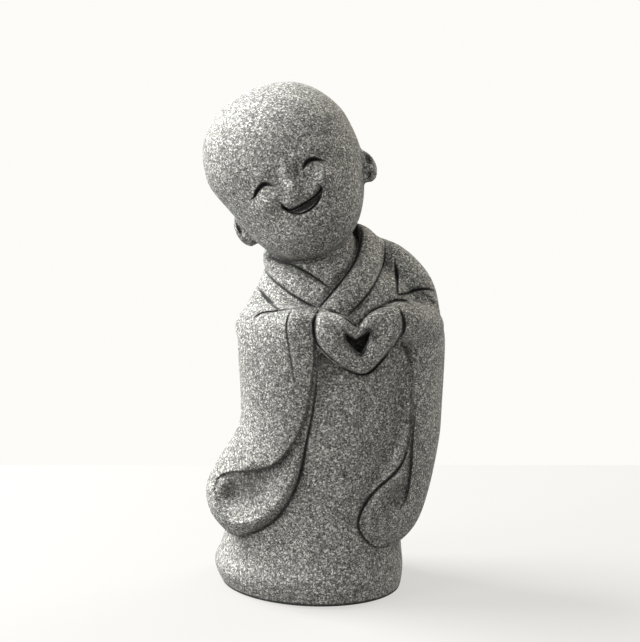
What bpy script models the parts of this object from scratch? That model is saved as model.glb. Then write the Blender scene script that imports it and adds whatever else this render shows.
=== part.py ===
"""Little standing monk of cast stone: a child's round, tilted head, a crossed collar,
two long hanging sleeves and hands that make a heart. The whole figure is one solid.

The figure is drawn 300 units tall, and every size below FIGURE_HEIGHT is in those
units, so that pose, proportions and carving stay shares of the height.
X runs to the viewer's right, Y away from the viewer and Z up from the ground.
"""

import math

import bmesh
import bpy
import numpy as np
from mathutils import Matrix, Vector
from mathutils.bvhtree import BVHTree

# Driving sizes
FIGURE_HEIGHT = 0.300  # metres, from the ground to the crown
DRAWN_HEIGHT = 300.0
UNIT = FIGURE_HEIGHT / DRAWN_HEIGHT

# How finely the solid is made
ROUGH_GRID = 1.5  # the grid on which the forms are fused before carving
FINE_GRID = 1.0  # the grid on which the carved head joins the carved robe
ROBE_SOFTENING = 4  # passes that round the inner corners between the fused forms
HEAD_SOFTENING = 3
FACE_BUDGET = 9400  # triangles left in the finished solid
OVAL_SIDES = 96
LIMB_SIDES = 20
BAND_SIDES = 16
RINGS_PER_SPAN = 8  # rings of points between two given levels or stations
TIP_ANGLES = (80, 60, 40, 20)  # degrees round the rounded ends of a limb

# The carving is drawn as it is seen from this place, in front of the figure and a little above
EYE = np.array((5.8, -1017.3, 338.4))
CARVED_TO = 10.0  # no stone farther back than this is carved
GRAZING = 0.1  # nor any that is turned this far from the eye
LEAST_CUT = 0.02
SIGHT_CLEARANCE = 0.4  # how far over the stone a line of sight starts
SIGHT_LENGTH = 400.0
STEP_WALL = 0.8  # how far the wall of a carved step slopes out
OPENING_WALL = 1.2
SWELL_FADE = 1.6  # how fast a soft swelling sinks away from its middle

# Head: an egg about its own axis, which leans to the viewer's left
HEAD_CENTRE = (-13.2, -4.0, 249.6)
HEAD_LEAN = math.radians(28.0)
HEAD_TURN = math.radians(3.0)
# Levels of the head: height over its centre, sideways shift, half width, reach to the front and to the back
HEAD_LEVELS = (
    (50.2, -1.5, 5.0, 5.0, 9.0),
    (48.4, -1.4, 14.5, 13.0, 19.0),
    (44.8, -1.2, 24.0, 21.0, 27.5),
    (40.0, -1.0, 31.2, 28.5, 34.5),
    (32.5, -0.8, 37.6, 35.5, 40.5),
    (22.5, -0.4, 42.3, 40.5, 45.0),
    (11.0, 0.0, 44.6, 43.3, 47.0),
    (-10.0, 1.5, 41.6, 44.3, 42.5),
    (-29.0, -0.2, 35.4, 43.0, 33.0),
    (-37.0, -0.7, 31.2, 40.2, 29.5),
    (-44.5, -1.0, 25.2, 34.5, 25.5),
    (-50.0, -1.2, 18.0, 26.5, 19.5),
    (-53.6, -1.2, 9.0, 14.0, 11.0),
)

# Ears: place of the middle along the head's own directions, then the three half sizes
EAR_RIGHT = ((40.4, -1.0, -19.4), (6.8, 5.2, 10.2))
EAR_LEFT = ((-38.6, -1.0, -20.4), (6.0, 5.2, 10.4))

# Level ovals: height, centre x, centre y, half length, half width, turn in degrees
ROBE_LEVELS = (
    (-6.0, 0.0, 0.0, 51.0, 45.0, -35.0),
    (0.0, 0.0, 0.0, 56.2, 49.2, -35.0),
    (12.0, -1.4, 0.0, 59.0, 52.6, -35.0),
    (23.0, 0.4, 0.0, 56.0, 50.2, -33.0),
    (50.0, 3.0, -0.8, 50.4, 45.6, -18.0),
    (100.0, 11.0, -2.0, 49.0, 42.2, 0.0),
    (148.0, 15.5, -2.5, 50.0, 41.0, 0.0),
    (166.0, 16.0, -1.5, 49.5, 40.0, 0.0),
    (180.0, 15.0, 1.0, 46.0, 37.5, 0.0),
    (191.0, 11.5, 3.5, 38.0, 32.5, 0.0),
    (199.0, 7.0, 4.0, 30.0, 27.0, 0.0),
    (206.0, 2.0, 4.0, 20.0, 19.0, 0.0),
)
NECK_LEVELS = (
    (150.0, 15.5, -3.0, 45.0, 34.5, 0.0),
    (178.0, 14.5, -1.0, 41.0, 33.0, 0.0),
    (190.0, 9.5, 1.5, 33.0, 29.0, 0.0),
    (206.0, 3.0, 2.0, 25.0, 25.0, 0.0),
    (224.0, -5.0, -2.0, 23.0, 23.0, 0.0),
)
SLEEVE_NEAR_LEVELS = (
    (174.5, -13.0, -38.0, 11.0, 3.0, -41.0),
    (171.5, -15.0, -35.5, 22.0, 8.0, -41.0),
    (164.0, -17.0, -32.5, 28.5, 13.0, -42.0),
    (150.0, -18.0, -31.0, 30.0, 14.5, -42.0),
    (110.0, -19.5, -28.0, 26.0, 13.5, -42.0),
    (96.0, -23.0, -27.5, 25.5, 13.5, -41.0),
    (78.0, -30.5, -26.5, 29.5, 14.0, -40.0),
    (62.0, -37.0, -26.5, 29.5, 14.2, -37.5),
    (48.0, -41.0, -27.0, 20.5, 11.5, -35.0),
    (37.0, -41.5, -28.5, 8.0, 5.5, -33.0),
)
SLEEVE_FAR_LEVELS = (
    (166.0, 65.0, -8.0, 12.0, 5.0, 66.0),
    (158.0, 65.5, -7.0, 21.0, 9.5, 66.0),
    (145.0, 66.5, -5.0, 25.5, 11.2, 68.0),
    (105.0, 65.0, -6.0, 25.5, 10.8, 67.0),
    (88.0, 62.0, -10.0, 26.0, 11.2, 62.0),
    (66.0, 54.0, -17.5, 26.8, 12.2, 52.0),
    (48.0, 48.5, -22.0, 25.0, 12.2, 48.0),
    (38.0, 47.5, -23.0, 18.5, 9.8, 47.0),
    (31.0, 47.0, -23.5, 9.0, 5.5, 46.0),
)

# Collar: its inner edge and outer edge, up the left lapel, round the nape and down the right lapel
COLLAR_THICKNESS = 8.0
COLLAR = (
    ((14.0, -31.5, 181.5), (1.0, -33.5, 173.5)),
    ((1.0, -27.0, 188.5), (-12.0, -27.0, 179.0)),
    ((-12.0, -17.0, 195.5), (-22.0, -13.5, 186.0)),
    ((-20.5, 3.0, 203.0), (-26.5, 5.0, 193.0)),
    ((-15.0, 19.0, 210.0), (-21.0, 25.0, 199.0)),
    ((0.0, 27.5, 214.5), (0.0, 35.5, 203.0)),
    ((17.0, 22.0, 215.5), (25.0, 29.0, 204.5)),
    ((27.5, 7.0, 214.5), (39.0, 9.0, 204.5)),
    ((28.5, -6.0, 208.0), (41.5, -3.0, 199.5)),
    ((26.0, -18.0, 197.5), (39.5, -18.0, 190.5)),
    ((15.5, -33.5, 183.0), (29.5, -34.5, 178.0)),
    ((4.0, -39.0, 169.0), (18.5, -40.0, 165.0)),
)

# Round forms: x, y, z and radius along each
UPPER_ARM_NEAR = ((-10.0, 3.0, 182.0, 13.0), (-19.5, -3.0, 172.0, 14.5), (-27.0, -10.0, 160.0, 14.0))
UPPER_ARM_FAR = (
    (36.0, 6.0, 197.0, 12.5),
    (47.5, 5.0, 190.5, 14.0),
    (58.0, 3.0, 177.0, 15.5),
    (62.5, 0.0, 161.0, 15.0),
)
FOREARM_NEAR = ((-31.0, -14.0, 158.0, 13.0), (-16.0, -33.0, 161.0, 12.0), (-7.0, -44.0, 164.0, 11.0))
FOREARM_FAR = ((66.0, -8.0, 157.0, 13.0), (57.0, -27.0, 163.0, 12.0), (50.5, -36.0, 166.0, 10.5))
HAND_NEAR = (
    (2.5, -45.0, 164.0, 6.0),
    (9.2, -49.5, 164.7, 8.3),
    (11.0, -51.0, 159.5, 8.2),
    (13.7, -51.0, 154.0, 7.7),
    (18.8, -50.0, 148.5, 6.8),
    (28.2, -48.0, 142.0, 5.2),
)
THUMB_NEAR = ((12.5, -51.0, 167.0, 6.0), (18.7, -54.0, 166.5, 4.8), (25.7, -55.0, 161.3, 3.2))
HAND_FAR = (
    (51.4, -38.0, 168.5, 7.0),
    (44.4, -43.0, 166.5, 8.3),
    (42.8, -44.0, 161.0, 8.3),
    (40.7, -45.0, 155.5, 7.6),
    (37.5, -46.0, 150.5, 6.4),
    (30.5, -48.0, 142.4, 5.0),
)
THUMB_FAR = ((41.5, -45.0, 168.6, 6.2), (35.1, -49.5, 167.2, 4.9), (28.2, -54.0, 162.0, 3.0))

# Carved lines. Each is (low side, stations), and a station is (x, z, depth, width), with x and z
# as seen from the front. Side 0 is a groove. Side 1 is a step whose low side is on the left of
# the way the line is drawn, and side -1 one whose low side is on its right.
NEAR_HEM = (
    1,
    (
        (3.7, 164.5, 0.6, 1.6),
        (2.0, 152.0, 2.4, 2.6),
        (1.5, 132.0, 3.0, 3.2),
        (-1.5, 112.0, 3.0, 4.0),
        (-5.5, 95.5, 3.8, 6.0),
        (-13.5, 81.0, 4.4, 9.0),
        (-23.0, 71.0, 5.0, 11.0),
        (-37.0, 67.5, 5.0, 12.0),
        (-50.5, 66.5, 4.5, 12.0),
        (-56.0, 63.0, 2.4, 9.0),
        (-57.5, 55.5, 0.4, 6.0),
    ),
)
NEAR_SLEEVE_EDGE = (
    0,
    (
        (5.0, 140.0, 0.4, 1.6),
        (6.0, 132.0, 1.0, 1.8),
        (1.5, 105.5, 1.5, 2.2),
        (-2.5, 81.0, 1.6, 2.2),
        (-8.0, 59.5, 1.6, 2.4),
        (-20.5, 39.0, 1.6, 2.4),
        (-36.5, 27.5, 1.4, 2.2),
        (-48.0, 28.5, 0.6, 2.0),
    ),
)
FAR_SLEEVE_EDGE = (
    0,
    (
        (55.0, 157.0, 1.0, 2.0),
        (58.5, 137.5, 2.2, 2.6),
        (61.0, 112.0, 2.6, 2.6),
        (59.5, 87.5, 2.4, 2.2),
        (51.0, 66.5, 2.0, 2.2),
        (38.0, 54.0, 2.0, 2.2),
        (30.0, 39.0, 2.0, 2.4),
        (30.0, 31.0, 2.0, 2.4),
        (39.5, 19.5, 1.4, 2.2),
        (53.0, 23.5, 0.4, 2.0),
    ),
)
FAR_HEM = (
    -1,
    (
        (63.0, 116.0, 0.4, 1.6),
        (63.5, 105.5, 1.6, 2.4),
        (62.0, 85.5, 3.0, 4.0),
        (61.0, 66.5, 4.4, 8.0),
        (57.5, 49.0, 4.6, 14.0),
        (48.5, 37.5, 1.0, 12.0),
    ),
)
NEAR_SLEEVE_FOLD = (
    0,
    (
        (-12.5, 166.0, 0.3, 2.4),
        (-14.0, 150.5, 1.2, 2.8),
        (-13.0, 137.0, 1.2, 3.0),
        (-8.0, 110.0, 0.3, 3.0),
    ),
)
LEFT_LAPEL = (
    -1,
    (
        (-30.0, 194.0, 0.8, 4.0),
        (-25.0, 185.0, 2.0, 6.0),
        (-14.5, 175.5, 2.0, 6.0),
        (-4.0, 170.0, 1.6, 4.0),
        (0.5, 168.0, 1.0, 3.0),
    ),
)
RIGHT_LAPEL = (
    1,
    (
        (44.5, 208.0, 0.8, 3.0),
        (43.0, 199.0, 2.0, 6.0),
        (37.5, 184.0, 2.2, 7.0),
        (29.0, 170.0, 2.2, 6.0),
        (21.0, 162.0, 1.0, 4.0),
    ),
)
LAPEL_OVERLAP = (1, ((5.5, 165.0, 1.2, 4.0), (11.5, 173.0, 2.4, 7.0), (18.0, 181.0, 1.5, 5.0)))
NEAR_ARM_CREASE = (0, ((-30.0, 177.5, 0.8, 1.8), (-24.0, 171.0, 2.6, 2.5), (-17.5, 165.0, 1.5, 2.2)))
NEAR_CROOK = (
    1,
    (
        (-31.5, 160.0, 0.5, 2.0),
        (-25.0, 163.0, 2.2, 3.5),
        (-12.5, 165.0, 1.8, 3.5),
        (1.0, 168.0, 1.0, 2.5),
    ),
)
FAR_ARM_CREASE = (0, ((49.5, 196.5, 0.6, 2.0), (49.5, 185.0, 3.2, 3.0), (52.5, 175.0, 2.0, 2.6)))
FAR_CROOK = (
    1,
    (
        (46.5, 172.0, 0.8, 2.4),
        (56.5, 177.0, 3.0, 4.0),
        (66.0, 179.5, 2.4, 3.4),
        (69.5, 178.5, 0.8, 2.4),
    ),
)
FAR_UPPER_FOLD = (0, ((60.0, 176.0, 0.4, 1.6), (69.0, 174.0, 1.4, 2.2), (77.5, 162.0, 0.4, 2.0)))
FAR_LOWER_FOLD = (0, ((46.5, 170.5, 0.6, 1.6), (55.0, 171.0, 1.2, 2.0), (62.0, 167.0, 0.4, 1.8)))
FAR_CUFF = (
    0,
    (
        (43.0, 168.5, 0.6, 1.6),
        (51.5, 166.0, 1.6, 1.8),
        (55.0, 157.5, 2.0, 2.2),
        (55.0, 152.5, 2.0, 2.2),
    ),
)
ROBE_LINES = (
    NEAR_HEM,
    NEAR_SLEEVE_EDGE,
    FAR_SLEEVE_EDGE,
    FAR_HEM,
    NEAR_SLEEVE_FOLD,
    LEFT_LAPEL,
    RIGHT_LAPEL,
    LAPEL_OVERLAP,
    NEAR_ARM_CREASE,
    NEAR_CROOK,
    FAR_ARM_CREASE,
    FAR_CROOK,
    FAR_UPPER_FOLD,
    FAR_LOWER_FOLD,
    FAR_CUFF,
)

# Face lines, drawn like those of the robe
RIGHT_EYE = (
    0,
    (
        (-34.3, 231.0, 0.4, 0.5),
        (-32.4, 233.0, 1.6, 0.8),
        (-30.8, 236.3, 3.0, 1.5),
        (-28.3, 239.2, 3.2, 1.6),
        (-25.6, 240.4, 3.0, 1.5),
        (-21.0, 239.2, 0.4, 0.5),
    ),
)
LEFT_EYE = (
    0,
    (
        (-4.5, 248.7, 0.4, 0.5),
        (-3.4, 251.0, 1.8, 1.0),
        (-1.9, 253.1, 3.0, 1.5),
        (0.1, 254.3, 3.2, 1.6),
        (2.8, 254.9, 3.0, 1.4),
        (9.0, 253.8, 0.4, 0.5),
    ),
)
SMILE = (
    -1,
    (
        (-17.3, 225.1, 0.6, 0.8),
        (-14.6, 224.5, 2.8, 1.6),
        (-10.9, 225.0, 3.4, 3.0),
        (-3.2, 228.1, 3.6, 4.6),
        (3.2, 233.6, 3.4, 3.2),
        (5.2, 236.7, 2.8, 1.8),
        (5.6, 239.6, 0.6, 0.8),
    ),
)
SMILE_RIGHT_CORNER = (0, ((-16.8, 228.0, 0.5, 0.8), (-15.6, 225.5, 2.2, 1.6), (-13.4, 224.2, 1.0, 1.2)))
SMILE_LEFT_CORNER = (0, ((4.4, 240.6, 0.5, 0.8), (5.8, 237.7, 2.2, 1.5), (5.5, 234.9, 1.0, 1.2)))
FACE_LINES = (RIGHT_EYE, LEFT_EYE, SMILE, SMILE_RIGHT_CORNER, SMILE_LEFT_CORNER)

# Swellings: x, z, half length, half width, lean in degrees, height (below nought is a hollow)
FACE_SWELLS = (
    (-10.6, 238.6, 6.0, 5.0, 28.0, 2.6),  # nose
    (-13.4, 246.0, 3.2, 8.0, 28.0, 1.2),  # its bridge
    (-26.0, 231.0, 11.0, 8.0, 28.0, 2.2),  # cheeks
    (6.0, 247.5, 11.0, 8.0, 28.0, 2.2),
    (-6.4, 233.2, 12.0, 6.5, 28.0, 2.0),  # upper lip
    (1.0, 218.5, 12.0, 8.0, 28.0, 1.8),  # chin
    (-29.0, 243.5, 9.0, 4.0, 28.0, 0.6),  # brows
    (2.0, 259.5, 9.0, 4.0, 28.0, 0.6),
    (33.6, 254.8, 2.2, 4.6, 20.0, -3.0),  # hollows of the ears
    (34.2, 246.0, 1.8, 3.0, 0.0, -2.0),
    (-41.2, 213.6, 1.6, 5.0, 28.0, -2.5),
)
ROBE_SWELLS = (
    (-36.5, 54.0, 26.0, 16.5, 38.0, -9.5),  # hollow mouth of the near sleeve, and its deepest part
    (-48.0, 57.0, 12.0, 9.0, 40.0, -3.5),
    (48.0, 48.0, 15.0, 8.0, 55.0, -3.0),  # hollow mouth of the far sleeve
)

# Parts of the face with finer faces: x, z, half width, half height
FINE_PLACES = (
    (-14.0, 238.0, 27.0, 21.0),  # the features together
    (-27.5, 236.5, 9.0, 7.0),  # right eye
    (2.0, 252.0, 9.0, 6.5),  # left eye
    (-6.0, 230.0, 14.0, 12.0),  # mouth
)

# The opening of the robe over the chest, as seen from the front
NECK_OPENING = (
    (15.0, 176.5),
    (20.0, 184.0),
    (24.5, 190.5),
    (27.0, 196.5),
    (29.0, 205.0),
    (27.0, 222.0),
    (-17.0, 222.0),
    (-21.5, 200.0),
    (-9.0, 191.5),
    (1.0, 184.5),
    (11.5, 178.0),
)
NECK_OPENING_DEPTH = 9.0

STONE_GREY = (0.30, 0.30, 0.29, 1.0)
STONE_ROUGHNESS = 0.9
SHARP_EDGE = math.radians(70.0)


def spread(points, per_span):
    """More points along a smooth curve that runs through each of the given ones."""
    rows = np.array(points, float)
    padded = np.vstack([2 * rows[0] - rows[1], rows, 2 * rows[-1] - rows[-2]])
    out = []
    for before, here, there, after in zip(padded, padded[1:], padded[2:], padded[3:]):
        for t in np.arange(per_span) / per_span:
            straight = 2 * here + (there - before) * t
            bend = (2 * before - 5 * here + 4 * there - after) * t**2
            twist = (3 * here - before - 3 * there + after) * t**3
            out.append((straight + bend + twist) / 2)
    out.append(rows[-1])
    return np.array(out)


def solid_from_rings(name, rings):
    """A closed skin over rings of points that all have the same count."""
    mesh = bpy.data.meshes.new(name)
    shell = bmesh.new()
    loops = [[shell.verts.new(Vector(point) * UNIT) for point in ring] for ring in rings]
    for low, high in zip(loops, loops[1:]):
        for i in range(len(low)):
            j = (i + 1) % len(low)
            shell.faces.new((low[i], low[j], high[j], high[i]))
    shell.faces.new(loops[0][::-1])
    shell.faces.new(loops[-1])
    bmesh.ops.recalc_face_normals(shell, faces=shell.faces)
    shell.to_mesh(mesh)
    shell.free()
    piece = bpy.data.objects.new(name, mesh)
    bpy.context.scene.collection.objects.link(piece)
    return piece


def around(sides):
    """Angles of the points of a ring."""
    return [2 * math.pi * k / sides for k in range(sides)]


def ovals(name, levels):
    """A solid of level ovals, each with its height, centre, half sizes and turn."""
    rings = []
    for height, centre_x, centre_y, half_length, half_width, turn in spread(levels, RINGS_PER_SPAN):
        cosine = math.cos(math.radians(turn))
        sine = math.sin(math.radians(turn))
        ring = []
        for angle in around(OVAL_SIDES):
            along = half_length * math.cos(angle)
            across = half_width * math.sin(angle)
            x = centre_x + along * cosine - across * sine
            y = centre_y + along * sine + across * cosine
            ring.append((x, y, height))
        rings.append(ring)
    return solid_from_rings(name, rings)


def limb(name, stations):
    """A round form along a curve, with rounded ends."""
    path = spread(stations, RINGS_PER_SPAN)
    centres = [Vector(row[:3]) for row in path]
    radii = [float(row[3]) for row in path]
    last = len(path) - 1
    ways = [(centres[min(i + 1, last)] - centres[max(i - 1, 0)]).normalized() for i in range(last + 1)]
    tips = [math.radians(angle) for angle in TIP_ANGLES]
    rows = [(centres[0] - ways[0] * radii[0] * math.sin(a), ways[0], radii[0] * math.cos(a)) for a in tips]
    rows.extend(zip(centres, ways, radii))
    for a in reversed(tips):
        tip = centres[-1] + ways[-1] * radii[-1] * math.sin(a)
        rows.append((tip, ways[-1], radii[-1] * math.cos(a)))
    side = ways[0].orthogonal().normalized()
    rings = []
    for centre, way, radius in rows:
        side = (side - way * side.dot(way)).normalized()
        other = way.cross(side)
        spokes = [side * math.cos(a) + other * math.sin(a) for a in around(LIMB_SIDES)]
        rings.append([centre + spoke * radius for spoke in spokes])
    return solid_from_rings(name, rings)


def band(name, edges, thickness):
    """A flat band with rounded edges, from the curve of its inner edge to that of its outer edge."""
    rows = spread([(*inner, *outer) for inner, outer in edges], RINGS_PER_SPAN)
    middles = [(Vector(row[:3]) + Vector(row[3:])) / 2 for row in rows]
    last = len(rows) - 1
    rings = []
    for i, row in enumerate(rows):
        across = (Vector(row[3:]) - Vector(row[:3])) / 2
        way = (middles[min(i + 1, last)] - middles[max(i - 1, 0)]).normalized()
        out = way.cross(across).normalized() * thickness / 2
        rings.append([middles[i] + across * math.cos(a) + out * math.sin(a) for a in around(BAND_SIDES)])
    return solid_from_rings(name, rings)


def head_axes():
    """The head's own directions: x to its side, y to its back and z to its crown."""
    return Matrix.Rotation(-HEAD_LEAN, 3, "Y") @ Matrix.Rotation(-HEAD_TURN, 3, "Z")


def on_head(place):
    """A point that is given along the head's own directions."""
    return Vector(HEAD_CENTRE) + head_axes() @ Vector(place)


def skull():
    rings = []
    for up, shift, half_width, front, back in spread(HEAD_LEVELS, RINGS_PER_SPAN):
        ring = []
        for angle in around(OVAL_SIDES):
            reach = back if math.sin(angle) > 0 else front
            ring.append(on_head((shift + half_width * math.cos(angle), reach * math.sin(angle), up)))
        rings.append(ring)
    return solid_from_rings("skull", rings)


def ear(name, middle, half_sizes):
    shell = bmesh.new()
    bmesh.ops.create_icosphere(shell, subdivisions=4, radius=UNIT)
    place = Matrix.Translation(on_head(middle) * UNIT)
    shell.transform(place @ head_axes().to_4x4() @ Matrix.Diagonal((*half_sizes, 1.0)))
    mesh = bpy.data.meshes.new(name)
    shell.to_mesh(mesh)
    shell.free()
    piece = bpy.data.objects.new(name, mesh)
    bpy.context.scene.collection.objects.link(piece)
    return piece


def settle(piece):
    """Gives the object the mesh that its modifiers make."""
    graph = bpy.context.evaluated_depsgraph_get()
    mesh = bpy.data.meshes.new_from_object(piece.evaluated_get(graph))
    piece.modifiers.clear()
    piece.data = mesh


def fuse(name, pieces, grid, passes):
    """One closed skin over all the pieces, with its inner corners softened."""
    heap = bmesh.new()
    for piece in pieces:
        heap.from_mesh(piece.data)
        bpy.data.objects.remove(piece)
    mesh = bpy.data.meshes.new(name)
    heap.to_mesh(mesh)
    heap.free()
    fused = bpy.data.objects.new(name, mesh)
    bpy.context.scene.collection.objects.link(fused)
    skin = fused.modifiers.new("skin", "REMESH")
    skin.mode = "VOXEL"
    skin.voxel_size = grid * UNIT
    soften = fused.modifiers.new("soften", "SMOOTH")
    soften.factor = 0.5
    soften.iterations = passes
    settle(fused)
    return fused


def seen(points):
    """Where each point appears on the upright plane through the axis, looked at from EYE."""
    rays = points - EYE
    return (EYE + rays * (-EYE[1] / rays[:, 1])[:, None])[:, [0, 2]]


def gaps_to(places, start, end):
    """The way from a straight piece of line to each place, and how far along the piece it starts."""
    way = end - start
    offset = places - start
    along = np.clip(offset @ way / (way @ way), 0, 1)[:, None]
    return offset - along * way, along


def line_depth(places, side, stations):
    """How deep one carved line goes at each seen place."""
    path = spread(stations, RINGS_PER_SPAN)
    nearest = np.full(len(places), np.inf)
    depth = np.zeros(len(places))
    for start, end in zip(path, path[1:]):
        gap, along = gaps_to(places, start[:2], end[:2])
        distance = np.hypot(gap[:, 0], gap[:, 1])
        full, width = (start[2:] + (end - start)[2:] * along).T
        reach = np.clip(distance / width, 0, 1)
        if side:
            way = end - start
            low = (way[0] * gap[:, 1] - way[1] * gap[:, 0]) * side > 0
            wall = np.clip(distance / STEP_WALL, 0, 1)
            cut = np.where(low, full * wall * (1 - reach), 0)
        else:
            cut = full * (1 - reach**2) ** 2
        here = distance < nearest
        nearest = np.where(here, distance, nearest)
        depth = np.where(here, cut, depth)
    return depth


def swell_height(places, x, z, half_length, half_width, lean, height):
    """How high one soft swelling stands at each seen place."""
    angle = math.radians(lean)
    offset = places - (x, z)
    along = (offset[:, 0] * math.cos(angle) + offset[:, 1] * math.sin(angle)) / half_length
    across = (offset[:, 1] * math.cos(angle) - offset[:, 0] * math.sin(angle)) / half_width
    off = along**2 + across**2
    if height < 0:
        return height * np.clip(1 - off, 0, 1) ** 2
    return height * np.exp(-SWELL_FADE * off)


def opening_depth(places, corners, depth):
    """A recess with a steep wall inside a closed outline."""
    inside = np.zeros(len(places), bool)
    nearest = np.full(len(places), np.inf)
    for start, end in zip(np.array(corners), np.roll(corners, -1, axis=0)):
        gap = gaps_to(places, start, end)[0]
        nearest = np.minimum(nearest, np.hypot(gap[:, 0], gap[:, 1]))
        if start[1] != end[1]:
            crosses = (start[1] > places[:, 1]) != (end[1] > places[:, 1])
            share = (places[:, 1] - start[1]) / (end[1] - start[1])
            inside ^= crosses & (places[:, 0] < start[0] + share * (end[0] - start[0]))
    return np.where(inside, depth * np.clip(nearest / OPENING_WALL, 0, 1), 0)


def carve(piece, lines, swells, opening=None):
    """Moves the stone that is seen from EYE away from it, or towards it for a swelling."""
    mesh = piece.data
    count = len(mesh.vertices)
    points = np.empty(count * 3)
    mesh.vertices.foreach_get("co", points)
    points = points.reshape(-1, 3) / UNIT
    normals = np.empty(count * 3)
    mesh.vertex_normals.foreach_get("vector", normals)
    normals = normals.reshape(-1, 3)
    places = seen(points)
    depth = np.zeros(count)
    for side, stations in lines:
        depth = np.maximum(depth, line_depth(places, side, stations))
    if opening:
        depth = np.maximum(depth, opening_depth(places, opening, NECK_OPENING_DEPTH))
    for swell in swells:
        depth -= swell_height(places, *swell)
    rays = points - EYE
    rays /= np.linalg.norm(rays, axis=1)[:, None]
    facing = ((normals * rays).sum(axis=1) < GRAZING) & (points[:, 1] < CARVED_TO)
    tree = BVHTree.FromPolygons(points.tolist(), [tuple(face.vertices) for face in mesh.polygons])
    for i in np.flatnonzero(facing & (np.abs(depth) > LEAST_CUT)):
        start = Vector(points[i] + (normals[i] - rays[i]) * SIGHT_CLEARANCE)
        if tree.ray_cast(start, Vector(-rays[i]), SIGHT_LENGTH)[0] is None:
            points[i] += rays[i] * depth[i]
    mesh.vertices.foreach_set("co", points.reshape(-1) * UNIT)
    mesh.update()


def refine(piece, boxes):
    """Splits the faces that are seen inside each box into smaller ones."""
    shell = bmesh.new()
    shell.from_mesh(piece.data)
    for x, z, half_width, half_height in boxes:
        shell.verts.ensure_lookup_table()
        points = np.array([v.co for v in shell.verts]) / UNIT
        off = np.abs(seen(points) - (x, z)) < (half_width, half_height)
        chosen = set(np.flatnonzero(off.all(axis=1) & (points[:, 1] < 0)))
        edges = [e for e in shell.edges if e.verts[0].index in chosen and e.verts[1].index in chosen]
        bmesh.ops.subdivide_edges(shell, edges=edges, cuts=1, use_grid_fill=True)
    bmesh.ops.triangulate(shell, faces=shell.faces)
    shell.to_mesh(piece.data)
    shell.free()


def thin_out(piece, triangles):
    """Leaves about this many triangles, and most of them where the surface bends."""
    piece.data.calc_loop_triangles()
    thin = piece.modifiers.new("thin", "DECIMATE")
    thin.ratio = triangles / len(piece.data.loop_triangles)
    settle(piece)


def stand_flat(piece):
    """Cuts the foot off level with the ground."""
    shell = bmesh.new()
    shell.from_mesh(piece.data)
    cut = bmesh.ops.bisect_plane(
        shell,
        geom=[*shell.verts, *shell.edges, *shell.faces],
        plane_co=(0, 0, 0),
        plane_no=(0, 0, -1),
        clear_outer=True,
    )
    rim = [e for e in cut["geom_cut"] if isinstance(e, bmesh.types.BMEdge)]
    bmesh.ops.edgeloop_fill(shell, edges=rim)
    bmesh.ops.recalc_face_normals(shell, faces=shell.faces)
    shell.to_mesh(piece.data)
    shell.free()


def finish_in_stone(piece):
    stone = bpy.data.materials.new("granite")
    stone.use_nodes = True
    shader = stone.node_tree.nodes["Principled BSDF"]
    shader.inputs["Base Color"].default_value = STONE_GREY
    shader.inputs["Roughness"].default_value = STONE_ROUGHNESS
    shader.inputs["Metallic"].default_value = 0.0
    piece.data.materials.clear()
    piece.data.materials.append(stone)
    piece.data.shade_smooth()
    piece.data.set_sharp_from_angle(angle=SHARP_EDGE)


def main():
    for thing in list(bpy.data.objects):
        bpy.data.objects.remove(thing)
    robe_forms = [
        ovals("skirt", ROBE_LEVELS),
        band("collar", COLLAR, COLLAR_THICKNESS),
        ovals("sleeve_near", SLEEVE_NEAR_LEVELS),
        ovals("sleeve_far", SLEEVE_FAR_LEVELS),
        limb("upper_arm_near", UPPER_ARM_NEAR),
        limb("upper_arm_far", UPPER_ARM_FAR),
        limb("forearm_near", FOREARM_NEAR),
        limb("forearm_far", FOREARM_FAR),
        limb("hand_near", HAND_NEAR),
        limb("thumb_near", THUMB_NEAR),
        limb("hand_far", HAND_FAR),
        limb("thumb_far", THUMB_FAR),
    ]
    robe = fuse("robe", robe_forms, ROUGH_GRID, ROBE_SOFTENING)
    carve(robe, ROBE_LINES, ROBE_SWELLS, NECK_OPENING)
    head_forms = [
        skull(),
        ear("ear_right", *EAR_RIGHT),
        ear("ear_left", *EAR_LEFT),
        ovals("neck", NECK_LEVELS),
    ]
    head = fuse("head", head_forms, ROUGH_GRID, HEAD_SOFTENING)
    refine(head, FINE_PLACES)
    carve(head, FACE_LINES, FACE_SWELLS)
    figure = fuse("monk_figure", [robe, head], FINE_GRID, 0)
    thin_out(figure, FACE_BUDGET)
    stand_flat(figure)
    finish_in_stone(figure)


main()
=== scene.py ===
# %% [markdown]
# # A little stone monk
#
# The real figure is one block of grey granite: a round head that leans to one side, a robe with a
# crossed collar and long hanging sleeves, and two hands that make a heart. This lesson builds its
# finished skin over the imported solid. Soft forms are made first, they are fused into one body,
# and the folds, hems and face are then carved into it, in the order in which a mason would work.

import math

import bpy
import numpy as np
from mathutils import Matrix, Vector
from mathutils.bvhtree import BVHTree


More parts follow.
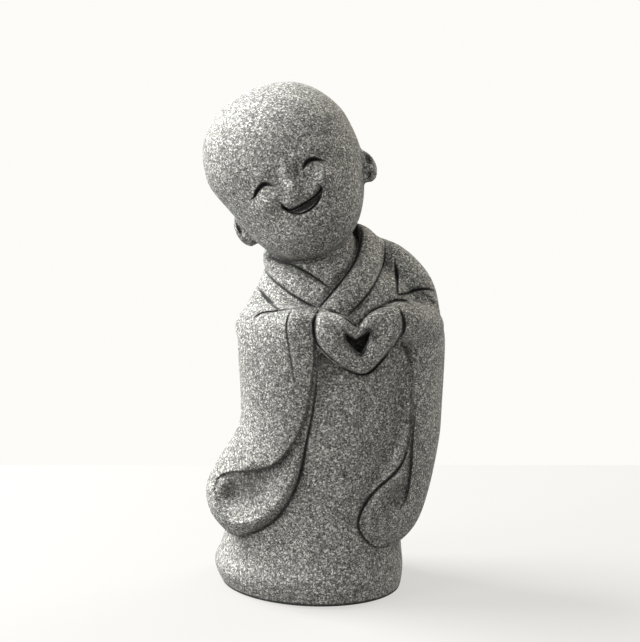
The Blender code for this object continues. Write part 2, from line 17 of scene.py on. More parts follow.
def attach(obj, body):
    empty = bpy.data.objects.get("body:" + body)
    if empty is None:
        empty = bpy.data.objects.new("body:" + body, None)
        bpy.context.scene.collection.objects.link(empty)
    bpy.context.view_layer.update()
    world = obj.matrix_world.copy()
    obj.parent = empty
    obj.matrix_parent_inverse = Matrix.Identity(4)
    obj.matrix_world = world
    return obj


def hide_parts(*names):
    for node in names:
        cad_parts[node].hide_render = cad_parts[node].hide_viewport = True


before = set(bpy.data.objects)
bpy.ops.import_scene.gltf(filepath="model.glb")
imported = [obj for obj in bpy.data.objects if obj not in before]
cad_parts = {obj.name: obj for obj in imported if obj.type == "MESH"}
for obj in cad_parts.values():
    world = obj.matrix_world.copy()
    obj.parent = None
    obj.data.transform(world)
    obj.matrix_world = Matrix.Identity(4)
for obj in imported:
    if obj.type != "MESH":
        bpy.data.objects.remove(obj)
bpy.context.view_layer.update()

# %% [markdown]
# Sizes are written as on the mason's drawing, where the figure is 300 units tall. One unit is a
# millimetre here, so a metre is a thousand of them. X runs to the viewer's right, Y away from the
# viewer and Z up. The carving is drawn as it is seen from one place in front of the figure, which
# is also where the camera stands, because hems and eyes are judged by how they look from there.

# %% Choose the unit and the place to look from
UNIT = 0.001
EYE = np.array((5.8, -1017.3, 338.4))
LOOK_DOWN = math.radians(10.0)
LENS = 98.0
SENSOR_WIDTH = 36.0

bpy.ops.object.select_all(action="DESELECT")
bpy.ops.object.camera_add(location=EYE * UNIT, rotation=(math.pi / 2 - LOOK_DOWN, 0.0, 0.0))
camera = bpy.context.object
camera.name = "front_camera"
camera.data.lens = LENS
camera.data.sensor_fit = "HORIZONTAL"
camera.data.sensor_width = SENSOR_WIDTH
bpy.context.scene.camera = camera
print("camera stands", round(-EYE[1]), "mm in front")

# %% [markdown]
# A smooth curve through a few given rows keeps the drawing short. Each row may hold any numbers:
# a place, a radius, or the sizes of an oval. The curve passes through every row that is given.

# %% Draw smooth curves through a few rows
ROWS_PER_SPAN = 6


def smooth_rows(rows):
    rows = np.array(rows, float)
    padded = np.vstack([2 * rows[0] - rows[1], rows, 2 * rows[-1] - rows[-2]])
    out = []
    for before, here, there, after in zip(padded, padded[1:], padded[2:], padded[3:]):
        for t in np.arange(ROWS_PER_SPAN) / ROWS_PER_SPAN:
            straight = 2 * here + (there - before) * t
            bend = (2 * before - 5 * here + 4 * there - after) * t**2
            twist = (3 * here - before - 3 * there + after) * t**3
            out.append((straight + bend + twist) / 2)
    out.append(rows[-1])
    return np.array(out)


print("a curve through three rows has", len(smooth_rows([(0.0,), (1.0,), (0.0,)])), "rows")

# %% [markdown]
# Nearly every form of the figure is a stack of rings: the skirt, the sleeves, the arms and even
# the collar. A cylinder is such a stack already. It is added as a primitive, its upright edges
# are subdivided until it has a ring for each level, and the rings are then set to their places.
# That keeps one closed skin with two caps, which is what the later remesh needs.

# %% Shape a cylinder into a stack of rings
def stack_of_rings(name, rings):
    count, sides = len(rings), len(rings[0])
    bpy.ops.object.select_all(action="DESELECT")
    bpy.ops.mesh.primitive_cylinder_add(vertices=sides, radius=1.0, depth=1.0, end_fill_type="NGON")
    piece = bpy.context.object
    piece.name = name
    mesh = piece.data
    start = np.array([vertex.co for vertex in mesh.vertices])
    ends = [tuple(edge.vertices) for edge in mesh.edges]
    upright = [abs(start[a, 2] - start[b, 2]) > 0.5 for a, b in ends]
    mesh.polygons.foreach_set("select", [False] * len(mesh.polygons))
    mesh.vertices.foreach_set("select", [False] * len(mesh.vertices))
    mesh.edges.foreach_set("select", upright)
    bpy.context.tool_settings.mesh_select_mode = (False, True, False)
    bpy.ops.object.mode_set(mode="EDIT")
    bpy.ops.mesh.subdivide(number_cuts=count - 2)
    bpy.ops.object.mode_set(mode="OBJECT")
    places = np.array([vertex.co for vertex in mesh.vertices])
    level = np.rint((places[:, 2] + 0.5) * (count - 1)).astype(int)
    turn = np.arctan2(places[:, 1], places[:, 0]) / (2 * math.pi) * sides
    shaped = np.array(rings, float)[level, np.rint(turn).astype(int) % sides]
    mesh.vertices.foreach_set("co", (shaped * UNIT).reshape(-1))
    bpy.ops.object.mode_set(mode="EDIT")
    bpy.ops.mesh.select_all(action="SELECT")
    bpy.ops.mesh.normals_make_consistent(inside=False)
    bpy.ops.object.mode_set(mode="OBJECT")
    return piece


def angles_round(sides):
    return [2 * math.pi * k / sides for k in range(sides)]


print("corners of a square, degrees:", [round(math.degrees(a)) for a in angles_round(4)])

# %% [markdown]
# The robe is a standing column whose section is an oval at every height. It flares at the foot,
# where the hem turns under, and its ovals turn a little on the way up, because the child twists
# to the viewer's right. The two sleeves hang from the forearms like long bags, thin across and
# wide along.

# %% Make the robe and the sleeves from level ovals
OVAL_SIDES = 128

# height, centre x, centre y, half length, half width, turn in degrees
ROBE_LEVELS = (
    (-6.0, 0.0, 0.0, 51.0, 45.0, -35.0),
    (0.0, 0.0, 0.0, 56.2, 49.2, -35.0),
    (12.0, -1.4, 0.0, 59.0, 52.6, -35.0),
    (23.0, 0.4, 0.0, 56.0, 50.2, -33.0),
    (50.0, 3.0, -0.8, 50.4, 45.6, -18.0),
    (100.0, 11.0, -2.0, 49.0, 42.2, 0.0),
    (148.0, 15.5, -2.5, 50.0, 41.0, 0.0),
    (166.0, 16.0, -1.5, 49.5, 40.0, 0.0),
    (180.0, 15.0, 1.0, 46.0, 37.5, 0.0),
    (191.0, 11.5, 3.5, 38.0, 32.5, 0.0),
    (199.0, 7.0, 4.0, 30.0, 27.0, 0.0),
    (206.0, 2.0, 4.0, 20.0, 19.0, 0.0),
)
NEAR_SLEEVE_LEVELS = (
    (174.5, -13.0, -38.0, 11.0, 3.0, -41.0),
    (171.5, -15.0, -35.5, 22.0, 8.0, -41.0),
    (164.0, -17.0, -32.5, 28.5, 13.0, -42.0),
    (150.0, -18.0, -31.0, 30.0, 14.5, -42.0),
    (110.0, -19.5, -28.0, 26.0, 13.5, -42.0),
    (96.0, -23.0, -27.5, 25.5, 13.5, -41.0),
    (78.0, -30.5, -26.5, 29.5, 14.0, -40.0),
    (62.0, -37.0, -26.5, 29.5, 14.2, -37.5),
    (48.0, -41.0, -27.0, 20.5, 11.5, -35.0),
    (37.0, -41.5, -28.5, 8.0, 5.5, -33.0),
)
FAR_SLEEVE_LEVELS = (
    (166.0, 65.0, -8.0, 12.0, 5.0, 66.0),
    (158.0, 65.5, -7.0, 21.0, 9.5, 66.0),
    (145.0, 66.5, -5.0, 25.5, 11.2, 68.0),
    (105.0, 65.0, -6.0, 25.5, 10.8, 67.0),
    (88.0, 62.0, -10.0, 26.0, 11.2, 62.0),
    (66.0, 54.0, -17.5, 26.8, 12.2, 52.0),
    (48.0, 48.5, -22.0, 25.0, 12.2, 48.0),
    (38.0, 47.5, -23.0, 18.5, 9.8, 47.0),
    (31.0, 47.0, -23.5, 9.0, 5.5, 46.0),
)


def column_of_ovals(name, levels):
    rings = []
    for height, centre_x, centre_y, half_length, half_width, turn in smooth_rows(levels):
        cosine = math.cos(math.radians(turn))
        sine = math.sin(math.radians(turn))
        ring = []
        for angle in angles_round(OVAL_SIDES):
            along = half_length * math.cos(angle)
            across = half_width * math.sin(angle)
            x = centre_x + along * cosine - across * sine
            y = centre_y + along * sine + across * cosine
            ring.append((x, y, height))
        rings.append(ring)
    return stack_of_rings(name, rings)


robe_forms = [
    column_of_ovals("robe", ROBE_LEVELS),
    column_of_ovals("near_sleeve", NEAR_SLEEVE_LEVELS),
    column_of_ovals("far_sleeve", FAR_SLEEVE_LEVELS),
]
print("robe and sleeves made of", sum(len(piece.data.polygons) for piece in robe_forms), "faces")

# %% [markdown]
# Arms, hands and thumbs are round in section and follow a bent line. Each is drawn by a few
# stations, a place and a radius. The fingers of such a small figure are not cut apart: each hand
# is one curled form that narrows towards the point of the heart, and the thumbs close the heart's
# top.

# %% Make the arms and the hands from round limbs
LIMB_SIDES = 32
TIP_ANGLES = (80, 60, 40, 20)

# x, y, z and radius
LIMBS = {
    "near_upper_arm": (
        (-10.0, 3.0, 182.0, 13.0),
        (-19.5, -3.0, 172.0, 14.5),
        (-27.0, -10.0, 160.0, 14.0),
    ),
    "far_upper_arm": (
        (36.0, 6.0, 197.0, 12.5),
        (47.5, 5.0, 190.5, 14.0),
        (58.0, 3.0, 177.0, 15.5),
        (62.5, 0.0, 161.0, 15.0),
    ),
    "near_forearm": (
        (-31.0, -14.0, 158.0, 13.0),
        (-16.0, -33.0, 161.0, 12.0),
        (-7.0, -44.0, 164.0, 11.0),
    ),
    "far_forearm": (
        (66.0, -8.0, 157.0, 13.0),
        (57.0, -27.0, 163.0, 12.0),
        (50.5, -36.0, 166.0, 10.5),
    ),
    "near_hand": (
        (2.5, -45.0, 164.0, 6.0),
        (9.2, -49.5, 164.7, 8.3),
        (11.0, -51.0, 159.5, 8.2),
        (13.7, -51.0, 154.0, 7.7),
        (18.8, -50.0, 148.5, 6.8),
        (28.2, -48.0, 142.0, 5.2),
    ),
    "near_thumb": ((12.5, -51.0, 167.0, 6.0), (18.7, -54.0, 166.5, 4.8), (25.7, -55.0, 161.3, 3.2)),
    "far_hand": (
        (51.4, -38.0, 168.5, 7.0),
        (44.4, -43.0, 166.5, 8.3),
        (42.8, -44.0, 161.0, 8.3),
        (40.7, -45.0, 155.5, 7.6),
        (37.5, -46.0, 150.5, 6.4),
        (30.5, -48.0, 142.4, 5.0),
    ),
    "far_thumb": ((41.5, -45.0, 168.6, 6.2), (35.1, -49.5, 167.2, 4.9), (28.2, -54.0, 162.0, 3.0)),
}


def way_at(path, i):
    return (path[min(i + 1, len(path) - 1)] - path[max(i - 1, 0)]).normalized()


def round_limb(name, stations):
    path = smooth_rows(stations)
    centres = [Vector(row[:3]) for row in path]
    radii = [float(row[3]) for row in path]
    ways = [way_at(centres, i) for i in range(len(centres))]
    tips = [math.radians(angle) for angle in TIP_ANGLES]

    def tip_row(end, out, angle):
        centre = centres[end] + ways[end] * out * radii[end] * math.sin(angle)
        return centre, ways[end], radii[end] * math.cos(angle)

    rows = [tip_row(0, -1, angle) for angle in tips]
    rows += zip(centres, ways, radii)
    rows += [tip_row(-1, 1, angle) for angle in reversed(tips)]
    side = ways[0].orthogonal().normalized()
    rings = []
    for centre, way, radius in rows:
        side = (side - way * side.dot(way)).normalized()
        other = way.cross(side)
        spokes = [side * math.cos(a) + other * math.sin(a) for a in angles_round(LIMB_SIDES)]
        rings.append([centre + spoke * radius for spoke in spokes])
    return stack_of_rings(name, rings)


robe_forms += [round_limb(name, stations) for name, stations in LIMBS.items()]
print("forms of the robe so far:", len(robe_forms))

# %% [markdown]
# The collar is a thick flat band. It comes up from the crossing on the chest, runs round the nape
# and goes down the other side. It is drawn by pairs of points, one on its inner edge and one on
# its outer edge, and its section is a flattened oval between the two, so both edges come out
# rounded.

# %% Make the collar from a flat band
BAND_SIDES = 24
COLLAR_THICKNESS = 8.0
COLLAR = (
    ((14.0, -31.5, 181.5), (1.0, -33.5, 173.5)),
    ((1.0, -27.0, 188.5), (-12.0, -27.0, 179.0)),
    ((-12.0, -17.0, 195.5), (-22.0, -13.5, 186.0)),
    ((-20.5, 3.0, 203.0), (-26.5, 5.0, 193.0)),
    ((-15.0, 19.0, 210.0), (-21.0, 25.0, 199.0)),
    ((0.0, 27.5, 214.5), (0.0, 35.5, 203.0)),
    ((17.0, 22.0, 215.5), (25.0, 29.0, 204.5)),
    ((27.5, 7.0, 214.5), (39.0, 9.0, 204.5)),
    ((28.5, -6.0, 208.0), (41.5, -3.0, 199.5)),
    ((26.0, -18.0, 197.5), (39.5, -18.0, 190.5)),
    ((15.5, -33.5, 183.0), (29.5, -34.5, 178.0)),
    ((4.0, -39.0, 169.0), (18.5, -40.0, 165.0)),
)


def flat_band(name, edges, thickness):
    rows = smooth_rows([(*inner, *outer) for inner, outer in edges])
    middles = [(Vector(row[:3]) + Vector(row[3:])) / 2 for row in rows]
    turns = angles_round(BAND_SIDES)
    rings = []
    for i, row in enumerate(rows):
        across = (Vector(row[3:]) - Vector(row[:3])) / 2
        out = way_at(middles, i).cross(across).normalized() * thickness / 2
        rings.append([middles[i] + across * math.cos(a) + out * math.sin(a) for a in turns])
    return stack_of_rings(name, rings)


robe_forms.append(flat_band("collar", COLLAR, COLLAR_THICKNESS))
print("collar band is", COLLAR_THICKNESS, "units thick")

# %% [markdown]
# Separate forms only touch and overlap. A voxel remesh puts one closed skin over all of them, as
# if they were pushed together in clay, and a few passes of smoothing round the inner corners.
# Both are modifiers, and they are applied at once, because the carving needs the real points.

# %% Fuse forms into one skin
SOFTEN_FACTOR = 0.5
ROUGH_GRID = 1.2
ROBE_SOFTENING = 5


def select_only(*pieces):
    bpy.ops.object.select_all(action="DESELECT")
    for piece in pieces:
        piece.select_set(True)
    bpy.context.view_layer.objects.active = pieces[0]


def apply_modifiers(piece):
    select_only(piece)
    for modifier in list(piece.modifiers):
        bpy.ops.object.modifier_apply(modifier=modifier.name)


def fuse(name, pieces, grid, passes):
    select_only(*pieces)
    bpy.ops.object.join()
    fused = bpy.context.object
    fused.name = name
    skin = fused.modifiers.new("skin", "REMESH")
    skin.mode = "VOXEL"
    skin.voxel_size = grid * UNIT
    soften = fused.modifiers.new("soften", "SMOOTH")
    soften.factor = SOFTEN_FACTOR
    soften.iterations = passes
    apply_modifiers(fused)
    return fused


robe = fuse("robe_body", robe_forms, ROUGH_GRID, ROBE_SOFTENING)
print("fused robe has", len(robe.data.polygons), "faces")

# %% [markdown]
# Carving pushes the visible skin back along the line of sight. For that, each point of the mesh
# is looked up on the drawing, an upright plane through the figure. A groove is deepest in its
# middle. A step has a steep wall on one side and rises slowly again on the other, as a hem does
# over the cloth below it. A swelling is a round hill that lifts a nose or a cheek, or a round
# hollow where its height is below nought. An opening is a closed outline with a flat floor and
# steep walls.

# %% Work out how deep the carving goes
GROOVE, LOW_LEFT, LOW_RIGHT = 0, 1, -1
STEP_WALL = 0.8
OPENING_WALL = 1.2
SWELL_FADE = 1.6


def on_drawing(points):
    rays = points - EYE
    return (EYE + rays * (-EYE[1] / rays[:, 1])[:, None])[:, [0, 2]]


def gaps_to(places, start, end):
    way = end - start
    offset = places - start
    along = np.clip(offset @ way / (way @ way), 0, 1)[:, None]
    return offset - along * way, along


def line_depth(places, side, stations):
    path = smooth_rows(stations)
    widest = path[:, 3].max()
    low, high = path[:, :2].min(axis=0) - widest, path[:, :2].max(axis=0) + widest
    close = ((places > low) & (places < high)).all(axis=1)
    depth = np.zeros(len(places))
    depth[close] = depth_beside(places[close], side, path)
    return depth


def depth_beside(places, side, path):
    nearest = np.full(len(places), np.inf)
    depth = np.zeros(len(places))
    for start, end in zip(path, path[1:]):
        gap, along = gaps_to(places, start[:2], end[:2])
        distance = np.hypot(gap[:, 0], gap[:, 1])
        full, width = (start[2:] + (end - start)[2:] * along).T
        reach = np.clip(distance / width, 0, 1)
        if side != GROOVE:
            way = end - start
            low = (way[0] * gap[:, 1] - way[1] * gap[:, 0]) * side > 0
            wall = np.clip(distance / STEP_WALL, 0, 1)
            cut = np.where(low, full * wall * (1 - reach), 0)
        else:
            cut = full * (1 - reach**2) ** 2
        here = distance < nearest
        nearest = np.where(here, distance, nearest)
        depth = np.where(here, cut, depth)
    return depth


def swell_height(places, x, z, half_length, half_width, lean, height):
    angle = math.radians(lean)
    offset = places - (x, z)
    along = (offset[:, 0] * math.cos(angle) + offset[:, 1] * math.sin(angle)) / half_length
    across = (offset[:, 1] * math.cos(angle) - offset[:, 0] * math.sin(angle)) / half_width
    off = along**2 + across**2
    if height < 0:
        return height * np.clip(1 - off, 0, 1) ** 2
    return height * np.exp(-SWELL_FADE * off)


def opening_depth(places, corners, depth):
    inside = np.zeros(len(places), bool)
    nearest = np.full(len(places), np.inf)
    for start, end in zip(np.array(corners), np.roll(corners, -1, axis=0)):
        gap = gaps_to(places, start, end)[0]
        nearest = np.minimum(nearest, np.hypot(gap[:, 0], gap[:, 1]))
        if start[1] != end[1]:
            crosses = (start[1] > places[:, 1]) != (end[1] > places[:, 1])
            share = (places[:, 1] - start[1]) / (end[1] - start[1])
            inside ^= crosses & (places[:, 0] < start[0] + share * (end[0] - start[0]))
    return np.where(inside, depth * np.clip(nearest / OPENING_WALL, 0, 1), 0)


example = on_drawing(np.array([(10.0, -50.0, 150.0)]))[0]
print("a knuckle 50 units in front is drawn at", [round(float(share), 1) for share in example])

# %% [markdown]
# Only stone that is really seen may move. A point counts as seen when its face looks towards the
# eye and no other stone stands between the two, which a ray from the point to the eye tells. Cuts
# and openings push the stone back, while ridges and swellings pull it forward. Each carved point
# also gets a painted shade from nought to one, darkest in narrow cuts, openings and sunk hollows,
# which the mesh keeps as an attribute for the stone's colour.

# %% Push the visible stone back
CARVED_TO = 10.0
GRAZING = 0.1
LEAST_CUT = 0.02
SIGHT_CLEARANCE = 0.4
SIGHT_LENGTH = 400.0
LINE_STRENGTH = 1.25
SHADE_WIDTH = 1.1
SHADE_DEPTH = 2.1
SHADE_DEEPEST = 1.6
OPENING_SHADE = 0.75
HOLLOW_SHADE = 0.45


def points_of(mesh):
    points = np.empty(len(mesh.vertices) * 3)
    mesh.vertices.foreach_get("co", points)
    return points.reshape(-1, 3) / UNIT


def tree_of(mesh, points):
    return BVHTree.FromPolygons(points.tolist(), [tuple(face.vertices) for face in mesh.polygons])


def carving_depth(places, lines, ridges, swells, openings):
    depth = np.zeros(len(places))
    for side, stations in lines:
        depth = np.maximum(depth, LINE_STRENGTH * line_depth(places, side, stations))
    for corners, full in openings:
        depth = np.maximum(depth, opening_depth(places, corners, full))
    for stations in ridges:
        depth -= line_depth(places, GROOVE, stations)
    for swell in swells:
        depth -= swell_height(places, *swell)
    return depth


# Painted shade: cuts, openings and sunk hollows are darkened in colour, standing in for the shade
# that falls in them.
def painted_shade(places, lines, swells, openings):
    painted_dark = np.zeros(len(places))
    for side, stations in lines:
        if side != GROOVE:
            stations = [
                (x, z, min(full, SHADE_DEEPEST), min(width, SHADE_WIDTH))
                for x, z, full, width in stations
            ]
        painted_dark = np.maximum(painted_dark, line_depth(places, GROOVE, stations) / SHADE_DEPTH)
    for corners, full in openings:
        painted_dark = np.maximum(painted_dark, OPENING_SHADE * opening_depth(places, corners, full) / full)
    for swell in swells:
        height = swell[-1]
        if height < 0:
            painted_dark = np.maximum(painted_dark, HOLLOW_SHADE * swell_height(places, *swell) / height)
    return np.clip(painted_dark, 0, 1)


def carve(piece, lines=(), ridges=(), swells=(), openings=()):
    mesh = piece.data
    points = points_of(mesh)
    normals = np.empty(points.size)
    mesh.vertex_normals.foreach_get("vector", normals)
    normals = normals.reshape(-1, 3)
    places = on_drawing(points)
    depth = carving_depth(places, lines, ridges, swells, openings)
    rays = points - EYE
    rays /= np.linalg.norm(rays, axis=1)[:, None]
    facing = ((normals * rays).sum(axis=1) < GRAZING) & (points[:, 1] < CARVED_TO)
    tree = tree_of(mesh, points)
    moved = np.zeros(len(points))
    for i in np.flatnonzero(facing & (np.abs(depth) > LEAST_CUT)):
        start = Vector(points[i] + (normals[i] - rays[i]) * SIGHT_CLEARANCE)
        if tree.ray_cast(start, Vector(-rays[i]), SIGHT_LENGTH)[0] is None:
            points[i] += rays[i] * depth[i]
            moved[i] = 1.0
    mesh.vertices.foreach_set("co", (points * UNIT).reshape(-1))
    mesh.update()
    # The "cut" attribute carries this painted shade of the carving into the stone's colour.
    layer = mesh.attributes.get("cut") or mesh.attributes.new("cut", "FLOAT", "POINT")
    layer.data.foreach_set("value", moved * painted_shade(places, lines, swells, openings))
    print("carved", int(moved.sum()), "points of", piece.name)


print("a cut is fully dark from", SHADE_DEPTH, "units deep")

# %% [markdown]
# The robe is open over the bare chest. The opening is a closed outline between the two lapels,
# sunk a little way into the robe, and the neck and chest fill it from behind.

# %% Sink the opening over the chest
NECK_OPENING = (
    (15.0, 176.5),
    (20.0, 184.0),
    (24.5, 190.5),
    (27.0, 196.5),
    (29.0, 205.0),
    (27.0, 222.0),
    (-17.0, 222.0),
    (-21.5, 200.0),
    (-9.0, 191.5),
    (1.0, 184.5),
    (11.5, 178.0),
)
NECK_OPENING_DEPTH = 9.0
carve(robe, openings=[(NECK_OPENING, NECK_OPENING_DEPTH)])

# %% [markdown]
# The head is an egg about its own axis, which leans 28 degrees to the side. It is rounder at the
# back than at the front, where the face is a little flat. It is a stack of rings too, only
# tilted. The ears are small ellipsoids, each added as an icosphere and set in place along the
# head's own directions. The neck widens downwards into the bare chest, which fills the opening of
# the robe from behind. Robe and head are then fused once more, on a finer grid, into the one body
# that is carved.

# %% Make the head, the neck and the ears
HEAD_CENTRE = (-13.2, -4.0, 249.6)
HEAD_LEAN = math.radians(28.0)
HEAD_TURN = math.radians(3.0)
HEAD_SOFTENING = 3
EAR_SUBDIVISIONS = 5
FINE_GRID = 0.75
FIGURE_SOFTENING = 2

# height over the centre, sideways shift, half width, reach to the front and to the back
HEAD_LEVELS = (
    (50.2, -1.5, 5.0, 5.0, 9.0),
    (48.4, -1.4, 14.5, 13.0, 19.0),
    (44.8, -1.2, 24.0, 21.0, 27.5),
    (40.0, -1.0, 31.2, 28.5, 34.5),
    (32.5, -0.8, 37.6, 35.5, 40.5),
    (22.5, -0.4, 42.3, 40.5, 45.0),
    (11.0, 0.0, 44.6, 43.3, 47.0),
    (-10.0, 1.5, 41.6, 44.3, 42.5),
    (-29.0, -0.2, 35.4, 43.0, 33.0),
    (-37.0, -0.7, 31.2, 40.2, 29.5),
    (-44.5, -1.0, 25.2, 34.5, 25.5),
    (-50.0, -1.2, 18.0, 26.5, 19.5),
    (-53.6, -1.2, 9.0, 14.0, 11.0),
)
NECK_LEVELS = (
    (150.0, 15.5, -3.0, 45.0, 34.5, 0.0),
    (178.0, 14.5, -1.0, 41.0, 33.0, 0.0),
    (190.0, 9.5, 1.5, 33.0, 29.0, 0.0),
    (206.0, 3.0, 2.0, 25.0, 25.0, 0.0),
    (224.0, -5.0, -2.0, 23.0, 23.0, 0.0),
)

# place of the middle along the head's own directions, then the three half sizes
EARS = {
    "right_ear": ((40.4, -1.0, -19.4), (6.8, 5.2, 10.2)),
    "left_ear": ((-38.6, -1.0, -20.4), (6.0, 5.2, 10.4)),
}
head_axes = Matrix.Rotation(-HEAD_LEAN, 3, "Y") @ Matrix.Rotation(-HEAD_TURN, 3, "Z")


def on_head(place):
    return Vector(HEAD_CENTRE) + head_axes @ Vector(place)


def egg(name, levels):
    rings = []
    for up, shift, half_width, front, back in smooth_rows(levels):
        ring = []
        for angle in angles_round(OVAL_SIDES):
            reach = back if math.sin(angle) > 0 else front
            sideways = shift + half_width * math.cos(angle)
            ring.append(on_head((sideways, reach * math.sin(angle), up)))
        rings.append(ring)
    return stack_of_rings(name, rings)


def ear(name, middle, half_sizes):
    bpy.ops.object.select_all(action="DESELECT")
    bpy.ops.mesh.primitive_ico_sphere_add(subdivisions=EAR_SUBDIVISIONS, radius=UNIT)
    piece = bpy.context.object
    piece.name = name
    place = Matrix.Translation(on_head(middle) * UNIT)
    piece.data.transform(place @ head_axes.to_4x4() @ Matrix.Diagonal((*half_sizes, 1.0)))
    return piece


head_forms = [egg("skull", HEAD_LEVELS), column_of_ovals("neck", NECK_LEVELS)]
head_forms += [ear(name, *sizes) for name, sizes in EARS.items()]
head = fuse("head", head_forms, ROUGH_GRID, HEAD_SOFTENING)
monk = fuse("monk_statue", [robe, head], FINE_GRID, FIGURE_SOFTENING)
print("whole figure has", len(monk.data.polygons), "faces before carving")

# %% [markdown]
# The carved lines follow. Each is drawn by stations: a place on the drawing, how deep the cut
# goes there and how wide it is. The hems are steps, and the edges between sleeve and skirt are
# grooves. Ridges are drawn in the same way and raise the rounded rims of the two sleeve mouths.

# %% Draw the hems and the edges of the sleeves
sleeve_lines = [
    (  # hem of the near sleeve, over its hollow mouth
        LOW_LEFT,
        (
            (3.7, 164.5, 0.6, 1.6),
            (2.0, 152.0, 2.4, 2.6),
            (1.5, 132.0, 3.0, 3.2),
            (-1.5, 112.0, 3.0, 4.0),
            (-5.5, 95.5, 3.8, 6.0),
            (-13.5, 81.0, 4.4, 9.0),
            (-23.0, 71.0, 5.0, 11.0),
            (-37.0, 67.5, 4.6, 11.0),
            (-50.5, 66.5, 2.8, 8.0),
            (-56.0, 63.0, 1.4, 5.0),
            (-57.8, 57.0, 0.4, 3.0),
        ),
    ),
    (  # near sleeve against the skirt
        GROOVE,
        (
            (5.4, 145.0, 0.4, 1.0),
            (4.4, 133.4, 1.2, 1.2),
            (2.3, 111.0, 1.5, 1.2),
            (-2.0, 86.5, 1.6, 1.2),
            (-8.0, 59.5, 1.4, 1.2),
            (-20.5, 38.0, 1.2, 1.2),
            (-36.5, 28.2, 1.2, 1.2),
            (-47.0, 27.3, 0.6, 1.2),
        ),
    ),
    (  # far sleeve against the skirt
        GROOVE,
        (
            (54.5, 146.0, 1.2, 1.4),
            (58.5, 137.5, 1.1, 2.4),
            (61.0, 112.0, 1.1, 2.6),
            (59.5, 89.0, 1.4, 1.6),
            (54.0, 70.0, 1.6, 1.2),
            (38.0, 53.5, 1.7, 1.2),
            (30.2, 41.0, 1.6, 1.2),
            (29.6, 30.0, 1.5, 1.2),
            (38.9, 19.8, 1.2, 1.2),
            (52.9, 22.8, 0.4, 1.2),
        ),
    ),
    (  # hem of the far sleeve, over its hollow mouth
        LOW_RIGHT,
        (
            (63.0, 116.0, 0.4, 1.6),
            (63.5, 105.5, 1.6, 2.4),
            (62.0, 85.5, 2.4, 4.0),
            (61.0, 66.5, 2.8, 7.0),
            (58.0, 50.0, 1.8, 7.0),
            (52.5, 41.5, 0.3, 5.0),
        ),
    ),
    (  # soft fold down the near sleeve
        GROOVE,
        (
            (-11.2, 165.2, 0.8, 0.9),
            (-13.6, 158.6, 1.1, 1.0),
            (-13.4, 149.6, 0.8, 1.0),
            (-9.7, 125.4, 0.6, 1.0),
            (-7.8, 115.2, 0.2, 0.9),
        ),
    ),
]
ridges = [
    (  # rounded rim of the near sleeve's mouth
        (-6.2, 77.2, 0.4, 3.0),
        (-10.5, 61.7, 1.8, 4.0),
        (-16.5, 49.3, 2.2, 4.5),
        (-25.5, 39.4, 2.2, 4.5),
        (-36.3, 34.4, 2.2, 4.5),
        (-47.2, 34.2, 2.2, 4.5),
        (-55.6, 41.9, 2.2, 4.0),
        (-59.8, 52.4, 2.0, 3.5),
        (-60.5, 62.9, 0.8, 3.0),
    ),
    (  # rounded lip of the far sleeve's mouth
        (59.7, 79.0, 0.4, 1.8),
        (54.0, 65.0, 1.6, 2.8),
        (44.8, 55.0, 2.8, 3.4),
        (38.6, 46.2, 3.1, 3.6),
        (35.6, 38.1, 3.1, 3.6),
        (36.4, 30.7, 2.6, 3.6),
        (42.1, 26.0, 1.8, 3.6),
        (49.1, 25.2, 1.0, 3.0),
    ),
]
print(len(sleeve_lines), "lines and", len(ridges), "ridges for the sleeves")

# %% [markdown]
# On the chest, two lapels cross, and the right one lies over the left one. Each edge of a lapel
# is a step, so that the cloth under it lies deeper, with a narrow groove along it that stays
# dark. Both have the same places, so these are written once.

# %% Draw the lapels
LEFT_LAPEL_INSIDE = ((-17.2, 196.4), (-6.0, 190.6), (3.9, 184.6), (12.7, 177.6))
LEFT_LAPEL_OUTSIDE = ((-28.1, 191.3), (-21.8, 183.6), (-11.9, 175.6), (-2.1, 169.6), (3.4, 167.1))
RIGHT_LAPEL_INSIDE = (
    (29.9, 212.0),
    (29.6, 205.6),
    (27.4, 197.5),
    (23.5, 189.5),
    (17.6, 181.6),
    (11.7, 174.6),
    (5.8, 167.4),
)
RIGHT_LAPEL_OUTSIDE = ((44.0, 206.0), (43.6, 194.5), (38.3, 181.6), (31.4, 171.6), (23.0, 163.0))


def even_line(side, places, depth, width):
    inner = [(x, z, depth, width) for x, z in places[1:-1]]
    return side, [(*places[0], depth / 2, width), *inner, (*places[-1], depth / 2, width)]


lapel_lines = [
    even_line(LOW_LEFT, LEFT_LAPEL_INSIDE, 1.6, 4.0),
    even_line(LOW_RIGHT, LEFT_LAPEL_OUTSIDE, 2.0, 6.0),
    even_line(LOW_RIGHT, RIGHT_LAPEL_INSIDE, 2.2, 5.0),
    even_line(LOW_LEFT, RIGHT_LAPEL_OUTSIDE, 2.2, 6.0),
    even_line(GROOVE, LEFT_LAPEL_INSIDE, 2.0, 0.95),
    even_line(GROOVE, LEFT_LAPEL_OUTSIDE, 2.2, 0.9),
    even_line(GROOVE, RIGHT_LAPEL_INSIDE, 2.6, 1.15),
    even_line(GROOVE, RIGHT_LAPEL_OUTSIDE, 2.2, 0.95),
]
print(len(lapel_lines), "lines for the lapels")

# %% [markdown]
# The arms press into the robe at the armpits and fold it at the elbows, where short creases run
# round the arm. The hands lie on the robe inside one long outline, and between them the heart is
# a small opening with a groove round its edge.

